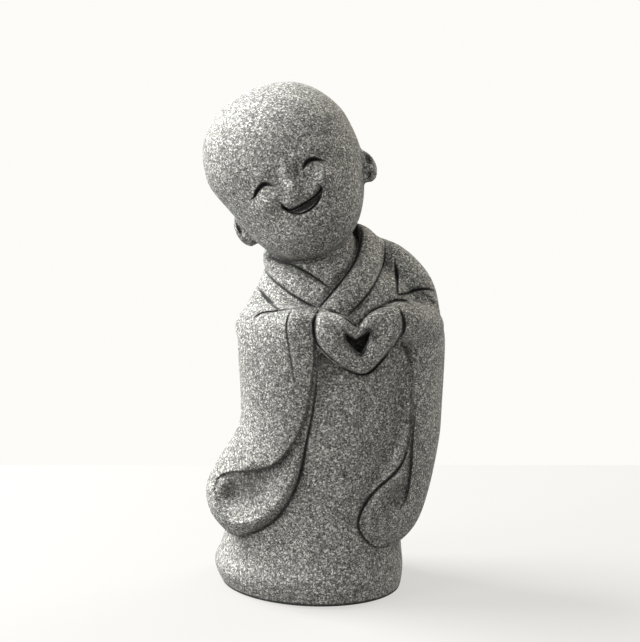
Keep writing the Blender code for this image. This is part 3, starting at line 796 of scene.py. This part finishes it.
# %% Draw the creases of the arms and the edges of the hands
HEART_GAP = (
    (19.6, 154.2),
    (23.6, 151.0),
    (27.6, 149.0),
    (30.1, 151.2),
    (34.5, 154.5),
    (36.4, 152.1),
    (34.3, 145.7),
    (30.6, 138.2),
    (25.4, 141.8),
    (21.2, 146.9),
)
HEART_GAP_DEPTH = 4.0
arm_lines = [
    (  # crease at the near armpit
        GROOVE,
        ((-31.6, 180.4, 0.8, 0.8), (-24.8, 171.6, 3.0, 1.4), (-18.2, 165.2, 2.0, 1.1)),
    ),
    (  # upper edge of the near forearm, as a step
        LOW_LEFT,
        (
            (-33.3, 160.6, 0.5, 2.0),
            (-28.6, 163.8, 2.0, 3.0),
            (-12.0, 166.2, 1.8, 3.0),
            (0.9, 167.4, 1.0, 2.5),
        ),
    ),
    (  # the same edge, as a narrow groove
        GROOVE,
        (
            (-33.3, 160.6, 0.6, 0.8),
            (-28.6, 163.8, 2.4, 1.1),
            (-19.8, 165.0, 2.2, 1.1),
            (-9.0, 166.6, 0.8, 0.8),
        ),
    ),
    (  # crook of the far arm
        GROOVE,
        (
            (51.2, 174.6, 1.2, 1.0),
            (56.0, 175.2, 2.6, 1.2),
            (62.0, 177.4, 3.0, 1.3),
            (69.0, 178.2, 2.0, 1.1),
            (73.5, 176.6, 0.6, 0.8),
        ),
    ),
    (  # top of the near thumb
        GROOVE,
        (
            (8.0, 166.2, 0.5, 0.8),
            (13.0, 164.8, 1.2, 0.9),
            (19.5, 161.4, 1.6, 1.0),
            (27.1, 155.4, 2.0, 1.0),
        ),
    ),
    (  # top of the far thumb
        GROOVE,
        (
            (28.6, 155.4, 2.0, 1.0),
            (34.0, 162.3, 1.6, 1.0),
            (41.9, 167.1, 1.2, 0.9),
            (49.1, 168.3, 0.5, 0.8),
        ),
    ),
    (  # crease at the far armpit
        GROOVE,
        ((49.7, 196.0, 0.5, 0.8), (51.0, 186.0, 3.0, 1.5), (51.2, 175.0, 1.2, 1.2)),
    ),
    (  # upper edge of the far forearm, as a step
        LOW_LEFT,
        (
            (50.5, 168.5, 0.8, 2.0),
            (57.1, 174.6, 2.6, 3.4),
            (63.0, 177.2, 2.6, 3.0),
            (70.5, 177.6, 0.8, 2.0),
        ),
    ),
    (  # soft fold over the far elbow
        GROOVE,
        ((60.0, 176.0, 0.4, 1.2), (69.0, 174.0, 1.0, 1.6), (77.5, 162.0, 0.3, 1.4)),
    ),
    (  # top of the far cuff
        GROOVE,
        (
            (43.1, 168.3, 0.6, 0.9),
            (51.2, 171.3, 2.0, 1.2),
            (58.1, 170.0, 1.6, 1.2),
            (63.0, 166.4, 0.4, 0.8),
        ),
    ),
    (  # side of the far cuff
        GROOVE,
        (
            (52.6, 166.6, 0.6, 1.0),
            (55.3, 159.6, 2.2, 1.5),
            (55.1, 153.0, 2.0, 1.5),
            (51.5, 147.5, 1.0, 1.2),
        ),
    ),
    (  # the hands against the robe
        GROOVE,
        (
            (5.0, 165.5, 0.8, 1.0),
            (2.9, 160.8, 2.6, 1.3),
            (2.0, 156.0, 2.6, 1.3),
            (3.7, 146.5, 2.0, 1.1),
            (10.0, 139.0, 1.7, 1.0),
            (17.7, 132.6, 1.5, 1.0),
            (24.9, 128.6, 1.7, 1.0),
            (31.7, 126.6, 2.0, 1.1),
            (37.8, 130.0, 2.0, 1.1),
            (44.8, 138.8, 1.8, 1.1),
            (51.5, 147.5, 1.0, 1.2),
        ),
    ),
    even_line(GROOVE, (*HEART_GAP, HEART_GAP[0]), 1.2, 0.8),
    (  # under the chin
        GROOVE,
        (
            (-27.0, 199.0, 0.3, 1.6),
            (-18.2, 195.6, 1.4, 2.0),
            (-10.7, 194.3, 1.4, 2.2),
            (-0.2, 195.2, 1.0, 2.2),
            (8.8, 198.6, 0.5, 2.0),
            (17.8, 203.8, 0.2, 1.6),
        ),
    ),
]
print(len(arm_lines), "lines for the arms, the hands and the chin")

# %% [markdown]
# The face is as simple as a doll's: two arcs for closed eyes and one curve for the smile, with a
# low nose, round cheeks and a soft chin. Eyes and mouth are grooves. The mouth is a shallow one,
# widest where it is open, with a narrow deep one along each lip. Nose, cheeks, lips, chin and
# brows are swellings, and the hollows of the ears and of the sleeve mouths stand in the same table.

# %% Draw the face
face_lines = [
    (  # closed eye on the left
        GROOVE,
        (
            (-34.3, 231.0, 0.5, 0.6),
            (-32.4, 233.0, 1.8, 1.0),
            (-30.8, 236.3, 3.0, 1.7),
            (-28.3, 239.2, 3.4, 1.9),
            (-25.6, 240.4, 3.0, 1.7),
            (-21.0, 239.2, 0.5, 0.6),
        ),
    ),
    (  # closed eye on the right
        GROOVE,
        (
            (-4.5, 248.7, 0.5, 0.6),
            (-3.4, 251.0, 2.0, 1.2),
            (-1.9, 253.1, 3.0, 1.7),
            (0.1, 254.3, 3.4, 1.9),
            (2.8, 254.9, 3.0, 1.6),
            (9.0, 253.8, 0.5, 0.6),
        ),
    ),
    (  # the open mouth
        GROOVE,
        (
            (-14.5, 225.2, 1.4, 0.9),
            (-8.3, 224.4, 2.0, 1.6),
            (-3.2, 226.6, 2.2, 2.8),
            (1.3, 229.8, 2.2, 2.8),
            (4.6, 233.4, 2.0, 1.9),
            (6.4, 237.0, 1.2, 0.9),
        ),
    ),
    (  # edge of the upper lip, with a pit at each corner
        GROOVE,
        (
            (-16.8, 229.0, 0.8, 0.8),
            (-15.2, 226.4, 3.0, 1.3),
            (-10.8, 225.2, 2.8, 1.1),
            (-3.4, 228.9, 3.2, 1.2),
            (2.6, 233.1, 3.2, 1.2),
            (6.3, 237.2, 3.0, 1.3),
            (5.6, 239.8, 0.8, 0.8),
        ),
    ),
    (  # edge of the lower lip
        GROOVE,
        (
            (-14.8, 225.6, 1.2, 0.8),
            (-11.2, 223.8, 2.0, 0.9),
            (-6.2, 222.9, 2.2, 0.9),
            (-0.2, 225.3, 2.4, 1.0),
            (4.3, 230.0, 2.4, 1.0),
            (6.9, 235.9, 1.4, 0.8),
        ),
    ),
    (  # crease beside the bridge of the nose
        GROOVE,
        ((-7.0, 254.0, 0.2, 1.6), (-7.6, 249.0, 1.0, 2.0), (-7.4, 244.0, 0.3, 1.8)),
    ),
]

# x, z, half length, half width, lean in degrees, height; below nought is a hollow
swells = [
    (-10.2, 238.2, 6.5, 5.5, 28.0, 5.2),  # nose
    (-13.6, 246.0, 3.6, 8.0, 28.0, 3.0),  # its bridge
    (-25.5, 228.5, 11.0, 8.5, 28.0, 4.6),  # cheeks
    (9.5, 244.5, 11.0, 8.5, 28.0, 4.6),
    (-5.8, 234.0, 11.0, 4.6, 28.0, 3.4),  # upper lip
    (-5.5, 220.5, 10.0, 4.0, 28.0, 2.4),  # lower lip
    (2.0, 215.0, 10.0, 7.0, 28.0, 2.4),  # chin
    (-29.5, 245.0, 9.0, 4.0, 28.0, 1.2),  # brows
    (0.0, 260.5, 9.0, 4.0, 28.0, 1.2),
    (33.6, 254.8, 2.2, 4.6, 20.0, -3.0),  # hollows of the ears
    (34.2, 246.0, 1.8, 3.0, 0.0, -2.0),
    (-41.2, 213.6, 1.6, 5.0, 28.0, -2.5),
    (-36.5, 54.0, 26.0, 16.5, 38.0, -9.5),  # hollow mouth of the near sleeve
    (-48.0, 54.5, 14.0, 12.0, 50.0, -5.0),
    (50.5, 51.0, 16.0, 8.5, 60.0, -4.5),  # hollow mouth of the far sleeve
]
print(len(face_lines), "lines and", len(swells), "swellings and hollows")

# %% [markdown]
# A cut is only as crisp as the faces that carry it. So the faces near the carved lines are split
# before the carving, in edit mode, and those of the face once more. The finished mesh is thinned
# out afterwards, which leaves the small faces where the surface bends and takes them away where
# it is smooth.

# %% Split the faces near the lines and carve
NEAR_LINE = 0.05


def split_near(piece, lines):
    mesh = piece.data
    points = points_of(mesh)
    places = on_drawing(points)
    close = np.zeros(len(points), bool)
    for side, stations in lines:
        close |= line_depth(places, side, stations) > NEAR_LINE
    close &= points[:, 1] < CARVED_TO
    faces = [all(close[i] for i in face.vertices) for face in mesh.polygons]
    mesh.vertices.foreach_set("select", [False] * len(mesh.vertices))
    mesh.edges.foreach_set("select", [False] * len(mesh.edges))
    mesh.polygons.foreach_set("select", faces)
    bpy.context.tool_settings.mesh_select_mode = (False, False, True)
    bpy.ops.object.mode_set(mode="EDIT")
    bpy.ops.mesh.subdivide(number_cuts=1)
    bpy.ops.mesh.select_all(action="SELECT")
    bpy.ops.mesh.quads_convert_to_tris()
    bpy.ops.object.mode_set(mode="OBJECT")


select_only(monk)
all_lines = sleeve_lines + lapel_lines + arm_lines + face_lines
split_near(monk, all_lines)
split_near(monk, face_lines)
print("figure has", len(monk.data.polygons), "faces to carve")
carve(monk, all_lines, ridges, swells, [(HEART_GAP, HEART_GAP_DEPTH)])

# %% [markdown]
# The statue has to stand flat. A bisect at ground level cuts off what hangs below it and fills
# the cut. The thinning comes first, so that the ground face stays one clean flat face.

# %% Thin the mesh out and cut the foot flat
FACE_BUDGET = 190000
GROUND = (0.0, 0.0, 0.0)
UPWARDS = (0.0, 0.0, 1.0)
CUT_TOLERANCE = 1e-6
thin = monk.modifiers.new("thin", "DECIMATE")
thin.ratio = FACE_BUDGET / len(monk.data.polygons)
apply_modifiers(monk)
bpy.ops.object.mode_set(mode="EDIT")
bpy.ops.mesh.select_all(action="SELECT")
bpy.ops.mesh.bisect(
    plane_co=GROUND,
    plane_no=UPWARDS,
    use_fill=True,
    clear_inner=True,
    threshold=CUT_TOLERANCE,
)
bpy.ops.object.mode_set(mode="OBJECT")
bpy.ops.object.shade_smooth()
print("figure has", len(monk.data.polygons), "faces when finished")

# %% [markdown]
# The deep places of the figure get painted shade, so they are darker than its ridges. How deep a
# place lies is measured with short rays: from each point a few are sent out over the surface, and
# the share that hits stone nearby is kept as an attribute of the mesh, which darkens the stone's
# colour.

# %% Measure how deep each place lies
HOLLOW_REACH = 14.0
RAYS_EACH = 14


def directions_over_surface(count):
    golden = math.pi * (3.0 - math.sqrt(5.0))
    out = []
    for k in range(count):
        up = math.sqrt((k + 0.5) / count)
        flat = math.sqrt(1.0 - up * up)
        out.append((flat * math.cos(golden * k), flat * math.sin(golden * k), up))
    return out


def measure_hollows_for_shade(piece):
    mesh = piece.data
    points = points_of(mesh)
    tree = tree_of(mesh, points)
    fan = [Vector(way) for way in directions_over_surface(RAYS_EACH)]
    hollow = np.zeros(len(points))
    for i, vertex in enumerate(mesh.vertices):
        normal = vertex.normal
        turn = normal.to_track_quat("Z", "Y")
        start = Vector(points[i]) + normal * SIGHT_CLEARANCE
        hits = 0.0
        for way in fan:
            distance = tree.ray_cast(start, turn @ way, HOLLOW_REACH)[3]
            if distance is not None:
                hits += 1.0 - distance / HOLLOW_REACH
        hollow[i] = hits / RAYS_EACH
    # The "hollow" attribute is painted shade: it darkens the colour where the stone around shuts
    # out the light.
    layer = mesh.attributes.new("hollow", "FLOAT", "POINT")
    layer.data.foreach_set("value", hollow)
    return hollow


hollow = measure_hollows_for_shade(monk)
print("deepest place is shut in by", round(100 * hollow.max()), "per cent")

# %% [markdown]
# The stone is one procedural material, put together from nodes. A few helpers keep that short: a
# pattern of cells or of noise at a real size in metres, an attribute of the mesh, a ramp from a
# value to a shade of grey, and a mix of two colours. The patterns read Object coordinates, so the
# stone goes through the figure with no seam.

# %% Prepare the nodes of the stone
STONE_WARMTH = 0.985
PATTERN_ROUGHNESS = 0.5

stone = bpy.data.materials.new("granite")
stone.use_nodes = True
stone.node_tree.nodes.clear()
add_node = stone.node_tree.nodes.new
link = stone.node_tree.links.new
stone_place = add_node("ShaderNodeTexCoord").outputs["Object"]


def cells(size):
    node = add_node("ShaderNodeTexVoronoi")
    node.inputs["Scale"].default_value = 1.0 / size
    link(stone_place, node.inputs["Vector"])
    split = add_node("ShaderNodeSeparateColor")
    link(node.outputs["Color"], split.inputs["Color"])
    return split.outputs["Red"]


def noise(size, detail, roughness=PATTERN_ROUGHNESS):
    node = add_node("ShaderNodeTexNoise")
    node.inputs["Scale"].default_value = 1.0 / size
    node.inputs["Detail"].default_value = detail
    node.inputs["Roughness"].default_value = roughness
    link(stone_place, node.inputs["Vector"])
    return node.outputs["Fac"]


def attribute(name):
    node = add_node("ShaderNodeAttribute")
    node.attribute_name = name
    return node.outputs["Fac"]


def ramp(value, stops):
    node = add_node("ShaderNodeValToRGB")
    link(value, node.inputs["Fac"])
    elements = node.color_ramp.elements
    while len(elements) < len(stops):
        elements.new(0.5)
    for element, (position, shade) in zip(elements, stops):
        element.position = position
        element.color = (shade, shade, shade * STONE_WARMTH, 1.0)
    return node.outputs["Color"]


def mix(kind, share, first, second):
    node = add_node("ShaderNodeMix")
    node.data_type = "RGBA"
    node.blend_type = kind
    if isinstance(share, float):
        node.inputs["Factor"].default_value = share
    else:
        link(share, node.inputs["Factor"])
    link(first, node.inputs["A"])
    if isinstance(second, tuple):
        node.inputs["B"].default_value = second
    else:
        link(second, node.inputs["B"])
    return node.outputs["Result"]


print("the stone's patterns read", stone_place.name, "coordinates")

# %% [markdown]
# Granite is a mix of grains: pale feldspar, grey quartz and a few black specks of mica. On a
# small figure of fine granite the grains are about a millimetre across or less. Two patterns of
# cells give them, one coarse and one fine, and a ramp turns each cell's random value into a
# shade. A slow noise makes some patches a little darker.

# %% Mix the grains of the granite
GRAIN_SIZE = 0.0008
FINE_GRAIN_SIZE = 0.00055
FINE_GRAIN_SHARE = 0.4
PATCH_SIZE = 0.03
PATCH_DETAIL = 3.0
SPECK_SIZE = 0.0036
SPECK_DETAIL = 2.0
SPECK_COLOUR = (0.01, 0.01, 0.01, 1.0)

# value and shade of each stop
GRAIN_SHADES = ((0.0, 0.007), (0.3, 0.028), (0.6, 0.11), (0.85, 0.27), (1.0, 0.58))
FINE_GRAIN_SHADES = ((0.0, 0.01), (0.35, 0.045), (0.7, 0.17), (1.0, 0.46))
PATCH_SHADES = ((0.3, 0.85), (0.7, 1.0))
SPECK_SHADES = ((0.0, 1.0), (0.24, 1.0), (0.28, 0.0))

grain = cells(GRAIN_SIZE)
fine_grain = cells(FINE_GRAIN_SIZE)
grain_colour = ramp(grain, GRAIN_SHADES)
fine_grain_colour = ramp(fine_grain, FINE_GRAIN_SHADES)
colour = mix("MIX", FINE_GRAIN_SHARE, grain_colour, fine_grain_colour)
patches = ramp(noise(PATCH_SIZE, PATCH_DETAIL), PATCH_SHADES)
colour = mix("MULTIPLY", 1.0, colour, patches)
specks = ramp(noise(SPECK_SIZE, SPECK_DETAIL), SPECK_SHADES)
colour = mix("MIX", specks, colour, SPECK_COLOUR)
print("grains are", 1000 * GRAIN_SIZE, "and", 1000 * FINE_GRAIN_SIZE, "mm across")

# %% [markdown]
# Painted shade comes next: the deep places and the cuts are darker, by the two attributes that the
# mesh carries, and a narrow rim at the foot is painted dark, as the shadow where it meets the
# ground.
# The surface is sawn and brushed, not polished, so it is rough all over and the grains stand out a
# little.

# %% Paint shade into the deep places and the cuts, and finish the stone
# Height of the painted contact shadow at the foot, in metres.
FOOT_SHADOW_HEIGHT = 0.0022
HOLLOW_PAINTED_SHADES = ((0.0, 1.0), (0.08, 0.92), (0.45, 0.35))
CUT_PAINTED_SHADES = ((0.0, 1.0), (1.0, 0.12))
FOOT_SHADOW_SHADES = ((0.0, 0.05), (0.6, 0.15), (1.0, 1.0))
BRUSH_SIZE = 0.0012
BRUSH_DETAIL = 3.0
BRUSH_ROUGHNESS = 0.6
BRUSH_SHARE = 0.5
BUMP_STRENGTH = 0.5
BUMP_HEIGHT = 0.0004
STONE_ROUGHNESS = 0.88

# Painted shade in the deep places and in the carved cuts, from the two attributes.
colour = mix("MULTIPLY", 1.0, colour, ramp(attribute("hollow"), HOLLOW_PAINTED_SHADES))
colour = mix("MULTIPLY", 1.0, colour, ramp(attribute("cut"), CUT_PAINTED_SHADES))
# Painted shadow: a narrow rim at the foot is darkened where the figure meets the ground.
height = add_node("ShaderNodeSeparateXYZ")
link(stone_place, height.inputs["Vector"])
foot_shadow = add_node("ShaderNodeMapRange")
foot_shadow.inputs["From Max"].default_value = FOOT_SHADOW_HEIGHT
link(height.outputs["Z"], foot_shadow.inputs["Value"])
colour = mix("MULTIPLY", 1.0, colour, ramp(foot_shadow.outputs["Result"], FOOT_SHADOW_SHADES))

brushed = noise(BRUSH_SIZE, BRUSH_DETAIL, BRUSH_ROUGHNESS)
brushed = mix("MIX", BRUSH_SHARE, fine_grain, brushed)
bump = add_node("ShaderNodeBump")
bump.inputs["Strength"].default_value = BUMP_STRENGTH
bump.inputs["Distance"].default_value = BUMP_HEIGHT
link(brushed, bump.inputs["Height"])

shader = add_node("ShaderNodeBsdfPrincipled")
shader.inputs["Roughness"].default_value = STONE_ROUGHNESS
shader.inputs["Metallic"].default_value = 0.0
link(colour, shader.inputs["Base Color"])
link(bump.outputs["Normal"], shader.inputs["Normal"])
output = add_node("ShaderNodeOutputMaterial")
link(shader.outputs["BSDF"], output.inputs["Surface"])
monk.data.materials.clear()
monk.data.materials.append(stone)
print("stone mixed with", len(stone.node_tree.nodes), "nodes")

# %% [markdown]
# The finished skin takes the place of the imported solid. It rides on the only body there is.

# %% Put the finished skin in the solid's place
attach(monk, "root")
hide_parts("monk_figure")
print("finished skin stands for monk_figure")

# %% [markdown]
# The setting is a plain studio: a pale light table, which glows a little and so keeps the shadow
# on it pale, under a bright, even sky. The table ends a little way behind the figure.

# %% Set up the floor and the sky
FLOOR_SIZE = 2.4
FLOOR_CENTRE = (0.0, -0.93, 0.0)
TABLE_COLOUR = (0.09, 0.09, 0.09, 1.0)
TABLE_GLOW_COLOUR = (1.0, 0.98, 0.945, 1.0)
TABLE_GLOW = 0.57
SKY_COLOUR = (0.985, 0.97, 0.94, 1.0)
SKY_STRENGTH = 1.0

bpy.ops.object.select_all(action="DESELECT")
bpy.ops.mesh.primitive_plane_add(size=FLOOR_SIZE, location=FLOOR_CENTRE)
floor = bpy.context.object
floor.name = "studio_floor"
glowing = bpy.data.materials.new("light_table")
glowing.use_nodes = True
table = glowing.node_tree.nodes["Principled BSDF"]
table.inputs["Base Color"].default_value = TABLE_COLOUR
table.inputs["Roughness"].default_value = 1.0
table.inputs["Specular IOR Level"].default_value = 0.0
table.inputs["Emission Color"].default_value = TABLE_GLOW_COLOUR
table.inputs["Emission Strength"].default_value = TABLE_GLOW
floor.data.materials.append(glowing)

world = bpy.data.worlds.new("studio_sky")
world.use_nodes = True
sky = world.node_tree.nodes["Background"]
sky.inputs["Color"].default_value = SKY_COLOUR
sky.inputs["Strength"].default_value = SKY_STRENGTH
bpy.context.scene.world = world
bpy.context.scene.view_settings.view_transform = "Standard"
print("floor is", FLOOR_SIZE, "m wide")

# %% [markdown]
# Three soft square lamps light the figure: a strong one on the left, a little behind it, a weak
# one in front that models the face, and a warm one behind on the right. All of them look at the
# middle of the figure.

# %% Hang the lamps
LAMP_AIM = (0.0, 0.0, 0.15)
WHITE = (1.0, 1.0, 1.0)
WARM = (1.0, 0.9, 0.78)

# place, size, power and colour
LAMPS = {
    "key_lamp": ((-1.0, 0.3, 1.3), 0.8, 106.0, WHITE),
    "front_lamp": ((-0.95, -0.5, 0.5), 0.4, 11.0, WHITE),
    "rim_lamp": ((0.8, 0.6, 1.0), 0.5, 12.0, WARM),
}


def soft_lamp(name, place, size, power, colour):
    direction = Vector(LAMP_AIM) - Vector(place)
    turn = direction.to_track_quat("-Z", "Y").to_euler()
    bpy.ops.object.select_all(action="DESELECT")
    bpy.ops.object.light_add(type="AREA", location=place, rotation=turn)
    lamp = bpy.context.object
    lamp.name = name
    lamp.data.size = size
    lamp.data.energy = power
    lamp.data.color = colour


for name, settings in LAMPS.items():
    soft_lamp(name, *settings)
print(len(LAMPS), "lamps are lit")
